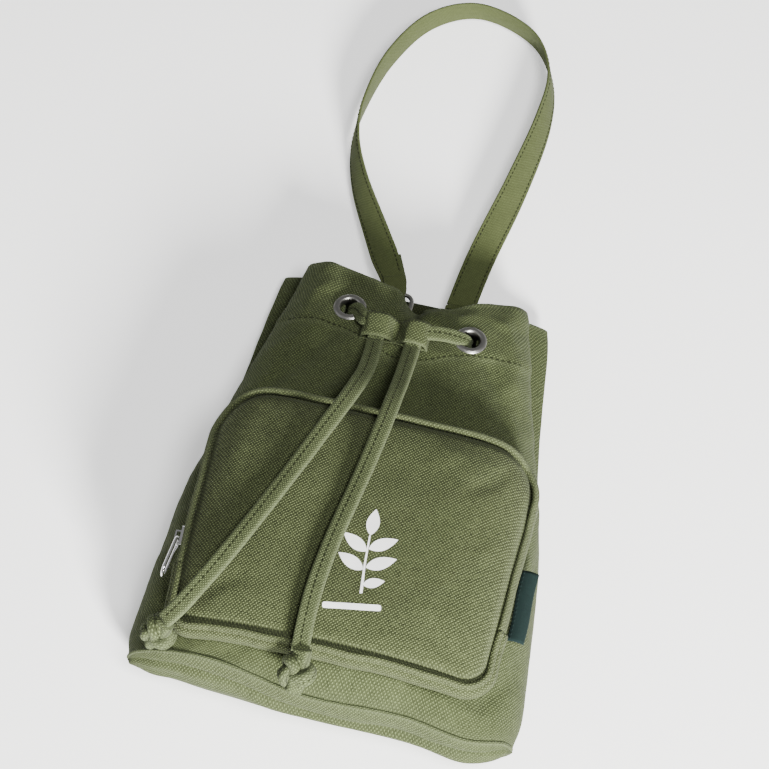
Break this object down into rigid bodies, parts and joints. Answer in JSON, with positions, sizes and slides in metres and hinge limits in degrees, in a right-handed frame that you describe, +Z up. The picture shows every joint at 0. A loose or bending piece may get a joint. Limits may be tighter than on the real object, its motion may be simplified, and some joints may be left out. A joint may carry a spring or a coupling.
{
  "type": "drawstring bucket bag",
  "caption": "Small canvas bucket bag with a drawstring mouth, cord keeper, zipped front pocket and a loop strap held by a ring, lying on its back.",
  "frame": {"origin": "on the supporting surface under the middle of the back panel, half way from base to mouth", "axes": "+X to the bag's right seen from the front, +Y from the base to the mouth, +Z up out of the front panel; the bag lies on its back"},
  "size_m": [0.2063, 0.4577, 0.0772],
  "materials": {
    "canvas": "woven matt canvas",
    "canvas_dark": "woven matt canvas, inside face",
    "pocket_canvas": "woven matt canvas",
    "strap": "stitched two-ply canvas",
    "cord": "folded and stitched canvas strip",
    "keeper": "folded canvas strip",
    "label": "woven tab",
    "zip_tape": "woven tape and nylon coil",
    "nickel": "satin nickel",
    "bright_metal": "polished"
  },
  "bodies": {
    "bag": {"front_panel": "canvas", "back_panel": "canvas", "base_panel": "canvas", "hem_facing_front": "canvas_dark", "hem_facing_back": "canvas_dark", "eyelet_left": "nickel", "eyelet_right": "nickel", "eyelet_washer_left": "nickel", "eyelet_washer_right": "nickel", "drawcord_hem_run": "cord", "drawcord_lead_left": "cord", "drawcord_lead_right": "cord", "pocket_front": "pocket_canvas", "pocket_zip_strip_front": "pocket_canvas", "pocket_zip_strip_back": "pocket_canvas", "pocket_lower_gusset": "pocket_canvas", "zip_tapes": "zip_tape", "zip_coil": "zip_tape", "zip_stops": "bright_metal", "label_tab": "label", "strap_sewn_end": "strap", "ring": "nickel", "ring_tab": "canvas_dark"},
    "strap": {"strap": "strap"},
    "zip_slider": {"zip_slider": "bright_metal"},
    "zip_pull": {"zip_pull": "bright_metal"},
    "cord_keeper": {"cord_keeper": "keeper"},
    "cord_end_left": {"drawcord_end_left": "cord", "knot_left": "cord"},
    "cord_end_right": {"drawcord_end_right": "cord", "knot_right": "cord"}
  },
  "joints": [
    {"name": "strap_swing", "type": "hinge", "parent": "bag", "child": "strap", "pos_m": [0, 0.1206, 0.0116], "axis": [1, 0, 0], "range_deg": [0, 90]},
    {"name": "zip_slide", "type": "slide", "parent": "bag", "child": "zip_slider", "axis": [-0.0499, 0.9943, -0.094], "range_m": [-0.008, 0.04]},
    {"name": "zip_pull_swing", "type": "hinge", "parent": "zip_slider", "child": "zip_pull", "pos_m": [-0.08174, -0.06496, 0.05077], "axis": [0.0024, -0.0941, -0.9956], "range_deg": [0, 100]},
    {"name": "keeper_slide", "type": "slide", "parent": "bag", "child": "cord_keeper", "axis": [0, -0.9367, 0.3501], "range_m": [0, 0.015], "deforming": ["drawcord_lead_left", "drawcord_lead_right", "drawcord_end_left", "drawcord_end_right"]},
    {"name": "cord_lift_left", "type": "hinge", "parent": "bag", "child": "cord_end_left", "pos_m": [-0.012, 0.073, 0.0474], "axis": [-1, 0, 0], "range_deg": [0, 60]},
    {"name": "cord_lift_right", "type": "hinge", "parent": "bag", "child": "cord_end_right", "pos_m": [0.008, 0.0731, 0.0472], "axis": [-1, 0, 0], "range_deg": [0, 60]}
  ]
}
